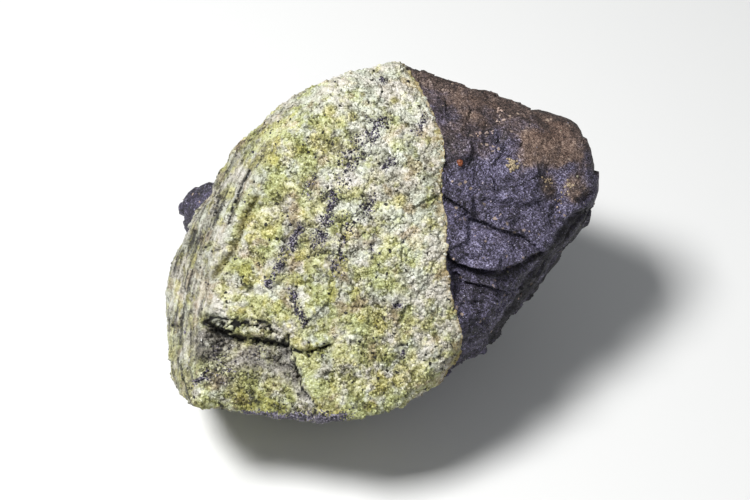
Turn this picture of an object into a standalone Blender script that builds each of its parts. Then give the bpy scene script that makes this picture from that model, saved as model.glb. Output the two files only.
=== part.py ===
"""A fist-sized stone of two rocks: a broken nodule of green dunite, held in the dark basalt that froze
round it on its way up from the mantle.

Run with: blender --background --python part.py
The origin is on the surface that the stone rests on, under the middle of its box. +Z is up, and the
front is towards -Y. The stone is worked out from its heart, a point inside the nodule, on the axes of
the broken face: x to the right, y up along the face, and z straight out of it. One row of facets, rounded
into each other, makes the outside of both rocks, so they meet without a step.
"""

import math

import bmesh
import bpy
import numpy as np

MM = 0.001

# Driving dimensions, in millimetres and degrees
FACE_ELEVATION = 50  # how far above level the broken face looks
HEART_RIGHT = -15.8  # of the middle of the stone's box
HEART_BACK = 1.1
HEART_HEIGHT = 44.6  # over the flat spot that the stone rests on
SHARPNESS = 38  # of the edges between facets: higher is crisper
SEAT_DEPTH = 21  # of the nodule behind its heart
SEAT_WIDTH = 0.7  # of the seat at its bend, as a share of its rim
FLOOR_WIDTH = 0.35  # of the flat middle of the seat's floor, as a share of its rim
GAP = 0.2  # that each rock keeps to the seat between them
RIM_GAP = math.radians(0.2)  # that each rock keeps to the contact line
GRID_STEPS = 42  # squares along each side of a sheet
SEAT_RINGS = 3
CRUST_CROWDING = 0.4  # of the crust's squares towards the contact line

# Facets: degrees round the face's axis from the right, degrees out towards it, distance from the heart
FACETS = {
    "face_left": (195, 82, 33),
    "face_upper": (62, 79, 36.5),
    "face_lower": (-50, 81, 36.5),
    "flank_lower": (172, 30, 41),
    "flank_upper": (155, 32, 40),
    "shoulder": (128, 35, 45),
    "apex_bevel": (98, 42, 54),
    "left_low": (186, -6, 51),
    "left": (167, -6, 45),
    "left_up": (152, -4, 41),
    "shoulder_rim": (134, -4, 40),
    "top_left": (113, -4, 45),
    "apex": (93, -4, 55.5),
    "top": (73, -6, 59),
    "top_corner": (35, -6, 84),
    "right_end": (12, -6, 84.5),
    "right_low": (-12, -4, 75),
    "right_under": (-40, -2, 56),
    "brown_slope": (70, 45, 50.5),
    "right_face": (5, 62, 47.5),
    "right_bevel": (-5, 30, 74),
    "dark_low": (-40, 20, 53.5),
    "low_right": (-66, -5, 47),
    "low_front": (-82, -12, 41),
    "low_left": (-98, -8, 45),
    "corner_left": (-147, 0, 59.5),
    "back": (0, -88, 44.5),
    "back_left": (170, -42, 43.5),
    "back_top": (95, -42, 50.5),
    "back_right": (20, -42, 66),
    "under_front": (-95, -32, 43),
    "under_right": (-37, -36, 54.5),
    "under_left": (-143, -36, 50.5),
    "back_low": (-90, -62, 46.5),
}

# The line where the two rocks meet, round the stone from its apex: only each point's direction counts
CONTACT = (
    (21, 56, 8),
    (29, 49, 19),
    (34, 39, 27),
    (36, 25, 33),
    (36, 10, 34),
    (37, -6, 34),
    (39, -20, 31),
    (37, -31, 24),
    (29, -40, 15),
    (21, -44, 6),
    (8, -45, -2),
    (-4, -45, -8),
    (-22, -44, -10),
    (-40, -36, -14),
    (-48, -20, -18),
    (-48, -2, -18),
    (-42, 14, -11),
    (-36, 26, -11),
    (-26, 38, -14),
    (-8, 50, -10),
    (8, 57, -4),
)

# The ledge: a slab has broken off the lower left of the nodule, and this is the top of the wall it left
LEDGE_X = (-40, -33, -25, -16, -10)
LEDGE_Y = (-15, -17.5, -18.5, -19.5, -23)
STEP_Y = (-44, -40, -34, -26)  # the wall's right end turns down, along these points
STEP_X = (-2.8, -6.5, -9.3, -10.5)
LEDGE_DEPTH = 7
STEP_DEPTH = 3
STEP_SLOPE = 2
FLANK_X = -38  # where the slab's bed runs out into the flank
FADE_WIDTH = 6
FADE_GROWTH = 0.5
LEDGE_SLOPE = 6  # how wide the wall is, seen straight onto the face

# Where the basalt's layers have split: a crack across the right face, with the lower side dropped
CRACK_X = (33, 39, 44, 54, 60)
CRACK_Y = (3, 1.5, -1.5, -3, -1)
CRACK_DROP = 2.5

# Lumps and hollows: middle of the lump, its radius, and how far it stands out
LUMPS = (
    ((-42, 12, -21), 8, 12),
    ((-39, 19, -21), 6, 6),
    ((-42, 20, 6), 11, -3),
    ((-2, -44, -18), 8, 9),
    ((44, 47, -4), 8, 1.5),
    ((24, -36, -24), 14, 3),
    ((48, 10, -36), 16, 4),
    ((6, 30, -44), 18, -4),
    ((-30, -18, -36), 15, 3),
    ((66, 18, -14), 12, -2.5),
)
SWELL_SIZE = 22
SWELL_HEIGHT = 1.1
ROUGH_SIZE = 9
ROUGH_HEIGHT = 0.6

# Flat chips that the rocks broke in: their size and how far they tilt in and out, the basalt's in two sizes
CHIP_SIZE = 8
CHIP_HEIGHT = 0.7
FLAKE_SIZE = 15
FLAKE_HEIGHT = 1.6
SMALL_FLAKE_SIZE = 8
SMALL_FLAKE_HEIGHT = 0.9
FLAKE_SINK = 0.8  # how far the flaked outside lies inside the facets
FLAKE_START = math.radians(5)  # how far past the contact line the chips and flakes have their full height
SEED = 7
LATTICE = 64

# Finishes: colour, roughness
GREEN = (0.30, 0.31, 0.19, 1)
GREEN_ROUGHNESS = 0.6
DARK = (0.055, 0.05, 0.06, 1)
DARK_ROUGHNESS = 0.75


def looking(around, out):
    """The unit arrow that is turned round the face's axis from the right, then raised towards it."""
    around, out = np.radians(around), np.radians(out)
    flat = np.cos(out)
    return np.stack([flat * np.cos(around), flat * np.sin(around), np.sin(out)], axis=-1)


def reach(arrows):
    """How far the stone goes along each arrow. A sharp facet alone would give 1 / share, with share the
    part of its distance that a unit step covers. The power mean of all shares rounds the edges."""
    table = np.array(list(FACETS.values()), float)
    shares = np.maximum(arrows @ looking(table[:, 0], table[:, 1]).T, 0) / table[:, 2]
    return (shares**SHARPNESS).sum(axis=1) ** (-1 / SHARPNESS)


def contact_angle(around):
    """The angle between the face's axis and the contact line, at each turn round the axis. A cubic runs
    smoothly through the line's points, with each slope taken from the two neighbours."""
    points = np.array(CONTACT, float)
    turns = np.unwrap(np.arctan2(points[:, 1], points[:, 0]))
    angles = np.arctan2(np.hypot(points[:, 0], points[:, 1]), points[:, 2])
    order = np.argsort(turns % math.tau)
    turns, angles = (turns % math.tau)[order], angles[order]
    turns = np.concatenate([turns[-2:] - math.tau, turns, turns[:2] + math.tau])
    angles = np.concatenate([angles[-2:], angles, angles[:2]])
    slopes = np.gradient(angles, turns)
    at = around % math.tau
    low = np.clip(np.searchsorted(turns, at) - 1, 0, len(turns) - 2)
    width = turns[low + 1] - turns[low]
    t = (at - turns[low]) / width
    start = (1 + 2 * t) * (1 - t) ** 2 * angles[low] + t * (1 - t) ** 2 * width * slopes[low]
    end = t**2 * (3 - 2 * t) * angles[low + 1] - t**2 * (1 - t) * width * slopes[low + 1]
    return start + end


def noise(points, size, seed):
    """Smooth swells of about this size, from -1 to 1: eight random slopes, one at each corner of the
    cube that holds a point, are blended."""
    rng = np.random.default_rng(seed)
    slopes = rng.normal(size=(LATTICE, 3))
    slopes /= np.linalg.norm(slopes, axis=1, keepdims=True)
    shuffle = rng.permutation(LATTICE)
    cell = np.floor(points / size).astype(int)
    part = points / size - cell
    ease = part**2 * (3 - 2 * part)
    total = np.zeros(len(points))
    for corner in np.ndindex(2, 2, 2):
        at = (cell + corner) % LATTICE
        pick = (shuffle[at[:, 0]] + at[:, 1]) % LATTICE
        pick = shuffle[(shuffle[pick] + at[:, 2]) % LATTICE]
        weight = np.prod(np.where(corner, ease, 1 - ease), axis=1)
        total += weight * np.sum(slopes[pick] * (part - corner), axis=1)
    return 1.7 * total


def chips(points, size, seed):
    """Flat chips of about this size, each tilted its own way: how high each point's chip is there, from
    about -1 to 1. A chip is the room round one random seed point in each cube, nearer to it than to any
    other."""
    rng = np.random.default_rng(seed)
    table = rng.uniform(size=(LATTICE, 7))
    shuffle = rng.permutation(LATTICE)
    scaled = points / size
    cell = np.floor(scaled).astype(int)
    nearest = np.full(len(points), np.inf)
    height = np.zeros(len(points))
    for step in np.ndindex(3, 3, 3):
        at = cell + step - 1
        wrapped = at % LATTICE
        pick = (shuffle[wrapped[:, 0]] + wrapped[:, 1]) % LATTICE
        pick = shuffle[(shuffle[pick] + wrapped[:, 2]) % LATTICE]
        away = scaled - at - table[pick, :3]
        distance = np.linalg.norm(away, axis=1)
        tilt = np.sum((2 * table[pick, 3:6] - 1) * away, axis=1) + 0.5 * (2 * table[pick, 6] - 1)
        height = np.where(distance < nearest, tilt, height)
        nearest = np.minimum(nearest, distance)
    return height


def rise(value, low, high):
    """0 below low, 1 above high, with a smooth rise between."""
    t = np.clip((value - low) / (high - low), 0, 1)
    return t * t * (3 - 2 * t)


def slab_loss(points):
    """How deep the broken-off slab has left the face at the lower left of the nodule. It fades out into
    the flank, over a width that grows below the ledge, and gets shallower down the face."""
    x, y, z = points.T
    below = np.interp(x, LEDGE_X, LEDGE_Y) - y
    left = np.interp(y, STEP_Y, STEP_X) - x
    deep = LEDGE_DEPTH - (LEDGE_DEPTH - STEP_DEPTH) * rise(-y, 24, 40)
    inside = rise(np.minimum(below, left + STEP_SLOPE), 0, LEDGE_SLOPE)
    fade = rise(x - FLANK_X, 0, FADE_WIDTH + FADE_GROWTH * np.maximum(below, 0))
    return deep * inside * fade * rise(z, -12, 4)


def layer_drop(points):
    """How far the basalt below the crack in its right face has dropped."""
    x, y, z = points.T
    below = np.interp(x, CRACK_X, CRACK_Y) - y
    return CRACK_DROP * rise(below, 0, 2) * rise(-below, -16, -8) * rise(x, 30, 34) * rise(z, -4, 6)


def surface(around, away):
    """Points of the stone's outside, at a turn round the face's axis and an angle away from it. The
    basalt's flakes begin at the contact line, where both rocks have the same rim."""
    arrows = looking(np.degrees(around), 90 - np.degrees(away))
    points = arrows * reach(arrows)[:, None]
    relief = SWELL_HEIGHT * noise(points, SWELL_SIZE, SEED)
    relief += ROUGH_HEIGHT * noise(points, ROUGH_SIZE, SEED + 1)
    for middle, radius, height in LUMPS:
        distance = np.linalg.norm(points - np.array(middle), axis=1)
        relief += height * np.exp(-((distance / radius) ** 2))
    past = away - contact_angle(around)
    flakes = FLAKE_HEIGHT * chips(points, FLAKE_SIZE, SEED + 5)
    flakes += SMALL_FLAKE_HEIGHT * chips(points, SMALL_FLAKE_SIZE, SEED + 6)
    relief += (flakes - FLAKE_SINK) * rise(past, 0, FLAKE_START)
    relief += CHIP_HEIGHT * chips(points, CHIP_SIZE, SEED + 2) * rise(-past, 0, FLAKE_START)
    points = points + arrows * relief[:, None]
    points[:, 2] -= slab_loss(points) + layer_drop(points)
    return points


def seat(around, depth, inset):
    """Points of the hidden contact between the rocks, from the rim at depth 0 to the floor at depth 1.
    A curve with one bend runs from the rim, past a corner over the floor, to the floor's middle part."""
    rim = surface(around, contact_angle(around))
    start, bend, end = (1 - depth) ** 2, 2 * depth * (1 - depth), depth**2
    wide = np.hypot(rim[:, 0], rim[:, 1]) * (start + bend * SEAT_WIDTH + end * FLOOR_WIDTH)
    high = start * rim[:, 2] - (bend + end) * SEAT_DEPTH
    points = np.stack([wide * np.cos(around), wide * np.sin(around), high], axis=1)
    return points * (1 - inset / np.linalg.norm(points, axis=1, keepdims=True))


def to_world(points):
    """Turns the face's axes to the way the stone rests, sets its heart at its place, and cuts it flat
    at the surface that it rests on. Millimetres become metres."""
    lean = math.radians(FACE_ELEVATION)
    x, y, z = points.T
    back = y * math.sin(lean) - z * math.cos(lean) + HEART_BACK
    height = np.maximum(y * math.cos(lean) + z * math.sin(lean) + HEART_HEIGHT, 0)
    return np.stack([x + HEART_RIGHT, back, height], axis=1) * MM


def place(vertices, turn, rule):
    """Moves the vertices to the points that the rule gives for their turns round the face's axis."""
    points = to_world(rule(np.array([vertex[turn] for vertex in vertices])))
    for vertex, point in zip(vertices, points):
        vertex.co = point


def rock(name, finish, away, inset):
    """One rock: a square grid is bowed out to a disk and laid on the stone's outside, its rim is drawn
    down the seat ring by ring, and the floor is filled. The flat spot it rests on becomes one face before
    all faces are cut into triangles. The function away gives the angle from the face's axis, for a turn
    and a share of the way from the disk's middle to its rim."""
    bm = bmesh.new()
    turn = bm.verts.layers.float.new("turn")
    made = bmesh.ops.create_grid(bm, x_segments=GRID_STEPS, y_segments=GRID_STEPS, size=1)
    square = np.array([vertex.co.xy for vertex in made["verts"]])
    disk = square * np.sqrt(1 - square[:, ::-1] ** 2 / 2)
    share = np.hypot(disk[:, 0], disk[:, 1])
    for vertex, around in zip(made["verts"], np.arctan2(disk[:, 1], disk[:, 0])):
        vertex[turn] = around
    place(made["verts"], turn, lambda around: surface(around, away(around, share)))
    edges = [edge for edge in bm.edges if edge.is_boundary]
    for ring in range(1, SEAT_RINGS + 1):
        made = bmesh.ops.extrude_edge_only(bm, edges=edges)["geom"]
        edges = [item for item in made if isinstance(item, bmesh.types.BMEdge) and item.is_boundary]
        vertices = [item for item in made if isinstance(item, bmesh.types.BMVert)]
        place(vertices, turn, lambda around, depth=ring / SEAT_RINGS: seat(around, depth, inset))
    bmesh.ops.edgeloop_fill(bm, edges=edges)
    bmesh.ops.recalc_face_normals(bm, faces=bm.faces)
    flat = [face for face in bm.faces if all(vertex.co.z == 0 for vertex in face.verts)]
    bmesh.ops.dissolve_faces(bm, faces=flat, use_verts=True)
    bmesh.ops.triangulate(bm, faces=bm.faces)
    mesh = bpy.data.meshes.new(name)
    bm.to_mesh(mesh)
    bm.free()
    mesh.materials.append(finish)
    stone = bpy.data.objects.new(name, mesh)
    bpy.context.collection.objects.link(stone)
    return stone


def finish(name, colour, roughness):
    """A plain material of one colour."""
    material = bpy.data.materials.new(name)
    material.use_nodes = True
    shader = material.node_tree.nodes["Principled BSDF"]
    shader.inputs["Base Color"].default_value = colour
    shader.inputs["Roughness"].default_value = roughness
    shader.inputs["Metallic"].default_value = 0
    return material


def nodule_angle(around, share):
    """The nodule's outside runs from the face's axis to just short of the contact line."""
    return share * (contact_angle(around) - RIM_GAP)


def crust_angle(around, share):
    """The crust's outside runs from straight behind the stone to just short of the contact line, in
    steps that get shorter on the way."""
    share = share * (1 + CRUST_CROWDING * (1 - share))
    return math.pi - share * (math.pi - contact_angle(around) - RIM_GAP)


for old in list(bpy.data.objects):
    bpy.data.objects.remove(old)
rock("dunite_nodule", finish("dunite", GREEN, GREEN_ROUGHNESS), nodule_angle, GAP)
rock("basalt_crust", finish("basalt", DARK, DARK_ROUGHNESS), crust_angle, -GAP)
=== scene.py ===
"""The looks of a fist-sized stone: a nodule of green dunite, broken open, in the dark basalt that froze
round it. The two rocks, then the loose grains on them, then the studio.

Lengths are in millimetres on the axes of the nodule's broken face, from the stone's heart: x to the
right, y up along the face, z straight out of it. to_world turns them to the frame's metres at the end.
"""

import math

import bpy
import numpy as np
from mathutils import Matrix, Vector


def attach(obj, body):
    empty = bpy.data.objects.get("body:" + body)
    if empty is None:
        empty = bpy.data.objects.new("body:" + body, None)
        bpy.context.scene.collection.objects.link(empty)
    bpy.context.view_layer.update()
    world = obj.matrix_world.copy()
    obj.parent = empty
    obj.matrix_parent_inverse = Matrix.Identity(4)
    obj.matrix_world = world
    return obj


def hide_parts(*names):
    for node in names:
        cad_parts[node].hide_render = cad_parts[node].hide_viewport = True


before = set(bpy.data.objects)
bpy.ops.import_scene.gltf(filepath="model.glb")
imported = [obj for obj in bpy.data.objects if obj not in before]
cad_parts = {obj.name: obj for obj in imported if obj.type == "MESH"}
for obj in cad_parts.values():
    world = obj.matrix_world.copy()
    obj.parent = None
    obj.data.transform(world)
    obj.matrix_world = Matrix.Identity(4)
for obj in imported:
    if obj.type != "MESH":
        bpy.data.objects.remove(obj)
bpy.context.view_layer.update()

# The dunite nodule: nearly pure olivine, a rock of sugary grains that broke along rough, flat facets.
# It was carried up in the lava, so its back sits in the basalt, and a slab has split off its lower left.
MM = 0.001
HEART = (-15.8, 1.1, 44.6)
FACE_ELEVATION = math.radians(50)
SHARPNESS = 38
FACETS = {
    "face_left": (195, 82, 33),
    "face_upper": (62, 79, 36.5),
    "face_lower": (-50, 81, 36.5),
    "flank_lower": (172, 30, 41),
    "flank_upper": (155, 32, 40),
    "shoulder": (128, 35, 45),
    "apex_bevel": (98, 42, 54),
    "left_low": (186, -6, 51),
    "left": (167, -6, 45),
    "left_up": (152, -4, 41),
    "shoulder_rim": (134, -4, 40),
    "top_left": (113, -4, 45),
    "apex": (93, -4, 55.5),
    "top": (73, -6, 59),
    "top_corner": (35, -6, 84),
    "right_end": (12, -6, 84.5),
    "right_low": (-12, -4, 75),
    "right_under": (-40, -2, 56),
    "brown_slope": (70, 45, 50.5),
    "right_face": (5, 62, 47.5),
    "right_bevel": (-5, 30, 74),
    "dark_low": (-40, 20, 53.5),
    "low_right": (-66, -5, 47),
    "low_front": (-82, -12, 41),
    "low_left": (-98, -8, 45),
    "corner_left": (-147, 0, 59.5),
    "back": (0, -88, 44.5),
    "back_left": (170, -42, 43.5),
    "back_top": (95, -42, 50.5),
    "back_right": (20, -42, 66),
    "under_front": (-95, -32, 43),
    "under_right": (-37, -36, 54.5),
    "under_left": (-143, -36, 50.5),
    "back_low": (-90, -62, 46.5),
}
CONTACT = (
    (21, 56, 8),
    (29, 49, 19),
    (34, 39, 27),
    (36, 25, 33),
    (36, 10, 34),
    (37, -6, 34),
    (39, -20, 31),
    (37, -31, 24),
    (29, -40, 15),
    (21, -44, 6),
    (8, -45, -2),
    (-4, -45, -8),
    (-22, -44, -10),
    (-40, -36, -14),
    (-48, -20, -18),
    (-48, -2, -18),
    (-42, 14, -11),
    (-36, 26, -11),
    (-26, 38, -14),
    (-8, 50, -10),
    (8, 57, -4),
)
LUMPS = (
    ((-42, 12, -21), 8.5, 9.5),
    ((-39, 19, -22), 7, 5),
    ((-37, 12, -33), 14, 6),
    ((-42, 20, 6), 11, -3),
    ((-5, -47, -12.5), 5.5, 9),
    ((44, 47, -4), 8, 1.5),
    ((24, -36, -24), 14, 3),
    ((48, 10, -36), 16, 4),
    ((6, 30, -44), 18, -4),
    ((-30, -18, -36), 15, 3),
    ((66, 18, -14), 12, -2.5),
)
SWELL = (22, 1.1)
ROUGH = (9, 0.6)
SEED = 7
LATTICE = 64
ON_FACE = (0, 6)  # over these heights above the heart a mark on the broken face sets in
IN_SIGHT = (-6, 4)  # the same for marks that go on to the outline
BESIDE_BED = (-12, 4)  # the same for the slab's bed, which goes on round the flank
LEDGE = ((-40, -15), (-33, -17.5), (-25, -18.5), (-16, -19.5), (-10, -23))
STEP = ((-10.5, -26), (-9.5, -30), (-8.2, -34), (-6.4, -38.5), (-2.8, -44))
STEP_CRACK = ((-10.8, -25.5), (-9.7, -27.4), (-9.1, -30), (-8, -34), (-6.3, -38.5), (-4, -41.5), (-2.4, -43))
STEP_STEEPNESS = 2.4
LIP = ((-11, -25.7), (-7.7, -26.9), (-5.7, -27.2), (-3.2, -26.6), (-0.9, -25.9), (1.3, -24.9), (4, -22.5))
LIP_DROP = 1.6
# Lines along the ledge that are dug in a little and painted near-black as shade: the shadow along the wall's
# foot, the wall's right end, the shadows under its top edge, a few cracks in it, the shadow under the lip
# and the step's crack. Each has its half width and strength.
LEDGE_SHADOWS_AND_CRACKS = (
    (((-34.4, -19.6), (-32, -21.8), (-29.4, -23.4), (-26.5, -24.1), (-23.8, -24.4)), 1.1, 1.0),
    (((-20.7, -24.6), (-17, -25.2), (-13.7, -25.7), (-10.8, -26.2)), 1.0, 1.0),
    (((-10.6, -22.8), (-10.7, -26.2)), 0.4, 0.9),
    (((-33.1, -17.9), (-29, -18.6), (-25.4, -18.6)), 0.45, 0.85),
    (((-20.7, -18.6), (-18, -19.3), (-15.6, -20.3)), 0.45, 0.85),
    (((-24.6, -21.6), (-21, -20.8), (-16, -21)), 0.35, 0.75),
    (((-31.5, -19.8), (-29.5, -21.5), (-28.4, -22.5)), 0.3, 0.7),
    (((-17.6, -21.2), (-15, -22.8), (-13, -23)), 0.35, 0.7),
    (((-9.9, -26.8), (-7.7, -27.9), (-5.7, -28.2), (-3.2, -27.6), (-0.9, -26.9), (1, -26)), 0.5, 0.9),
    (STEP_CRACK, 0.4, 0.9),
)
WALL_HEIGHT = ((-34, 3.8), (-31, 4.9), (-28, 5.6), (-17, 5.8), (-13, 4.9), (-10, 3.8))
WALL_LAYERS = ((0.14, -0.8, 0.6), (0.13, 0.6, 1.8), (0.13, 1.6, 2.6), (0.15, 2.4, 3.7), (0.45, 3.6, 4.2))
LEDGE_DEPTH = 6.5
STEP_DEPTH = 3
FLANK_X = -38
FADE_WIDTH = 6
FADE_GROWTH = 0.5
SEAT_DEPTH = 21
SEAT_WIDTH = 0.7
FLOOR_WIDTH = 0.35
SEAT_RINGS = 3
STEPS = 296


def looking(around, out):
    """The unit arrow that is turned round the face's axis from the right, then raised towards it."""
    flat = np.cos(out)
    return np.stack([flat * np.cos(around), flat * np.sin(around), np.sin(out)], axis=-1)


def facet_shares(arrows):
    """For each facet, the part of its distance that a unit step along each arrow covers."""
    table = np.array(list(FACETS.values()), float)
    normals = looking(np.radians(table[:, 0]), np.radians(table[:, 1]))
    return np.maximum(arrows @ normals.T, 1e-9) / table[:, 2]


def reach(arrows):
    """How far the stone goes along each arrow: one over the power mean of the facets' shares, which
    rounds their edges off."""
    return (facet_shares(arrows) ** SHARPNESS).sum(axis=1) ** (-1 / SHARPNESS)


def belongs(points, names):
    """From 0 to 1, how far these facets own the outside at each point."""
    weights = facet_shares(points / np.linalg.norm(points, axis=1, keepdims=True)) ** SHARPNESS
    chosen = [name in names for name in FACETS]
    return weights[:, chosen].sum(axis=1) / weights.sum(axis=1)


def contact_angle(around):
    """The angle between the face's axis and the contact line, at each turn round the axis: a cubic
    through the line's points, with each slope taken from the two neighbours."""
    points = np.array(CONTACT, float)
    turns = np.arctan2(points[:, 1], points[:, 0]) % math.tau
    order = np.argsort(turns)
    turns = turns[order]
    angles = np.arctan2(np.hypot(points[:, 0], points[:, 1]), points[:, 2])[order]
    turns = np.concatenate([turns[-2:] - math.tau, turns, turns[:2] + math.tau])
    angles = np.concatenate([angles[-2:], angles, angles[:2]])
    slopes = np.gradient(angles, turns)
    at = around % math.tau
    low = np.clip(np.searchsorted(turns, at) - 1, 0, len(turns) - 2)
    width = turns[low + 1] - turns[low]
    t = (at - turns[low]) / width
    start = (1 + 2 * t) * (1 - t) ** 2 * angles[low] + t * (1 - t) ** 2 * width * slopes[low]
    end = t**2 * (3 - 2 * t) * angles[low + 1] - t**2 * (1 - t) * width * slopes[low + 1]
    return start + end


def noise(points, size, seed):
    """Smooth swells of about this size, from -1 to 1: eight random slopes, one at each corner of the
    cube that holds a point, are blended. The size may differ along the three axes."""
    rng = np.random.default_rng(seed)
    slopes = rng.normal(size=(LATTICE, 3))
    slopes /= np.linalg.norm(slopes, axis=1, keepdims=True)
    shuffle = rng.permutation(LATTICE)
    cell = np.floor(points / size).astype(int)
    part = points / size - cell
    ease = part**2 * (3 - 2 * part)
    total = np.zeros(len(points))
    for corner in np.ndindex(2, 2, 2):
        at = (cell + corner) % LATTICE
        pick = (shuffle[at[:, 0]] + at[:, 1]) % LATTICE
        pick = shuffle[(shuffle[pick] + at[:, 2]) % LATTICE]
        weight = np.prod(np.where(corner, ease, 1 - ease), axis=1)
        total += weight * np.sum(slopes[pick] * (part - corner), axis=1)
    return 1.7 * total


def chips(points, size, seed):
    """Flat chips of about this size, each tilted its own way: the height of each point's chip there,
    from about -1 to 1, and how near the point is to the chip's edge, from 0 to 1. A chip is the room
    round one random seed point for each cube, nearer to it than to any other."""
    rng = np.random.default_rng(seed)
    table = rng.uniform(size=(LATTICE, 7))
    shuffle = rng.permutation(LATTICE)
    scaled = points / size
    cell = np.floor(scaled).astype(int)
    nearest = np.full(len(points), np.inf)
    second = np.full(len(points), np.inf)
    height = np.zeros(len(points))
    for step in np.ndindex(3, 3, 3):
        at = cell + step - 1
        wrapped = at % LATTICE
        pick = (shuffle[wrapped[:, 0]] + wrapped[:, 1]) % LATTICE
        pick = shuffle[(shuffle[pick] + wrapped[:, 2]) % LATTICE]
        away = scaled - at - table[pick, :3]
        distance = np.linalg.norm(away, axis=1)
        closer = distance < nearest
        second = np.where(closer, nearest, np.minimum(second, distance))
        tilt = np.sum((2 * table[pick, 3:6] - 1) * away, axis=1) + 0.5 * (2 * table[pick, 6] - 1)
        height = np.where(closer, tilt, height)
        nearest = np.where(closer, distance, nearest)
    return height, np.clip(1 - (second - nearest) * 2, 0, 1)


def rise(value, low, high):
    """0 below low, 1 above high, with a smooth rise between."""
    t = np.clip((value - low) / (high - low), 0, 1)
    return t * t * (3 - 2 * t)


def near(distance, width, power=2):
    """From 1 at no distance down to 0: the bell curve for power 2, and a flatter spot with a sharper edge
    for power 4."""
    return np.exp(-((distance / width) ** power))


def off_spot(points, middle):
    """How far each point is, seen straight onto the face, from a place on it."""
    return np.hypot(*(points[:, :2] - middle).T)


def off_line(points, line):
    """How far each point is, seen straight onto the face, from a line through the given places."""
    best = np.full(len(points), np.inf)
    for start, end in zip(line[:-1], line[1:]):
        start, run = np.array(start, float), np.subtract(end, start)
        share = np.clip(((points[:, :2] - start) @ run) / (run @ run), 0, 1)
        best = np.minimum(best, np.hypot(*(points[:, :2] - start - share[:, None] * run).T))
    return best


def under_ledge(flat):
    """How far below the ledge's top edge each point is, and how far left of the step's. The edges
    wander a little from the lines through their points."""
    x, y = flat[:, 0], flat[:, 1]
    wander = 0.8 * noise(flat, 5, SEED + 11) + 0.4 * noise(flat, 1.8, SEED + 12)
    below = np.interp(x, *zip(*LEDGE)) - y + wander
    left = np.interp(y, *zip(*((down, along) for along, down in reversed(STEP)))) - x + wander
    return below, left


def ledge_parts(points):
    """The ledge's parts, seen straight onto the face: how far each point is inside the slab's bed, how
    much of the bed there is, whether it is on the broken wall, how far its chunk of the wall stands out,
    and how deep it is in a crack or a painted shadow. These are the drawn lines, among them the shadows
    along the wall's foot, under its top edge and under the lip, which are painted near-black as shade
    and dug in a little, and the gaps between chunks."""
    flat = points * (1, 1, 0)
    below, left = under_ledge(flat)
    chunk, gap = chips(flat * (0.6, 1, 1), 1.9, SEED + 14)
    down = below * 4 / np.interp(points[:, 0], *zip(*WALL_HEIGHT))
    inside = np.minimum(down, STEP_STEEPNESS * left + 3) + 0.5 * chunk
    there = rise(points[:, 0] - FLANK_X, 0, FADE_WIDTH + FADE_GROWTH * np.maximum(below, 0))
    there = there * rise(points[:, 2], *BESIDE_BED)
    wall = there * rise(inside, 0.1, 0.7) * (1 - rise(inside, 4.2, 5)) * rise(left, -1, 0.5)
    wobble = flat + 0.6 * np.stack([noise(flat, 1.6, SEED + axis) for axis in (51, 52, 53)], axis=1)
    uneven = 1 + 0.7 * noise(flat, 2.4, SEED + 54)
    crack = wall * rise(gap, 0.65, 0.9) * rise(noise(flat, 2.4, SEED + 13), -0.3, 0.1)
    for line, half_width, strength in LEDGE_SHADOWS_AND_CRACKS:
        along_line = near(off_line(wobble, line), half_width * uneven)
        crack = np.maximum(crack, strength * along_line * rise(points[:, 2], *BESIDE_BED))
    return inside, there, wall, chunk, crack


def slab_bed(points):
    """Moves points back to the bed of the slab that split off. The wall drops in rough layers of broken
    chunks, the last the deepest, with open cracks, and the bed fades out into the flank. To the right of
    the wall a second, rounded ledge drops a little and runs out."""
    inside, there, wall, chunk, crack = ledge_parts(points)
    left = under_ledge(points * (1, 1, 0))[1]
    deep = LEDGE_DEPTH - (LEDGE_DEPTH - STEP_DEPTH) * rise(-points[:, 1], 24, 40)
    layers = sum(part * rise(inside, low, high) for part, low, high in WALL_LAYERS)
    moved = points.copy()
    moved[:, 2] -= there * deep * layers - 1.3 * wall * chunk + 1.5 * crack
    lip = np.interp(points[:, 0], *zip(*LIP)) - points[:, 1]
    span = rise(points[:, 0], -12, -8) * (1 - rise(points[:, 0], 0, 5)) * (1 - rise(left, -1, 1))
    moved[:, 2] -= LIP_DROP * rise(lip, -0.3, 0.9) * (1 - rise(lip, 0.9, 13)) * span
    return moved


FLANK = ("flank_lower", "flank_upper", "left_low", "left", "left_up")
STRIATION = ((5.4, -45), (0.6, -33), (0, -20), (5, 0), (13.4, 20), (31, 50))  # one of the flank's
LIME_SPOTS = (
    ((1.3, 40.5), 2.0),
    ((4.4, 37), 1.5),
    ((7.5, 39), 1.6),
    ((-3.2, 32.3), 1.7),
    ((-15, 27), 1.8),
    ((-12, -1), 2.4),
    ((-15.5, 6), 2.2),
    ((21, 15), 2.2),
)
OLIVE_SPOTS = (((19.6, 44), 1.4), ((10.5, 45.5), 0.9), ((-7, 19.5), 0.9), ((23, 36.5), 0.8))
OLIVE_GROOVE = ((-19.5, 16), (-22.5, 11.5), (-24.5, 6), (-27, 0), (-30, -3.5), (-32, -6.5))
FLANK_CRACKS = (
    ((-21.5, 24), (-23.5, 20.5), (-25.5, 16), (-27, 11), (-27.5, 8.5)),
    ((-31, 16.5), (-32.5, 11)),
)
PITS = (((-22, -10.5), 1.5, 1.6), ((25, -0.5), 2.2, 1.3), ((13.5, 2), 1.0, 0.8), ((20.5, -14.5), 1.1, 1.0))
GROOVES = ((2.2, 0.6), (1.1, 0.45), (0.6, 0.25))
GRAIN_SIZE = 1.5


def grooved(points, size):
    """Noise that is drawn out along the striations, twelve times as long as it is wide. The striations
    all curve as the drawn one does, seen straight onto the face."""
    right, up = zip(*STRIATION)
    across = 0.93 * (points[:, 0] - np.interp(points[:, 1], up, right))
    return noise(np.stack([across, 0.08 * points[:, 1], 0.1 * points[:, 2]], axis=1), size, SEED + 21)


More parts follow.
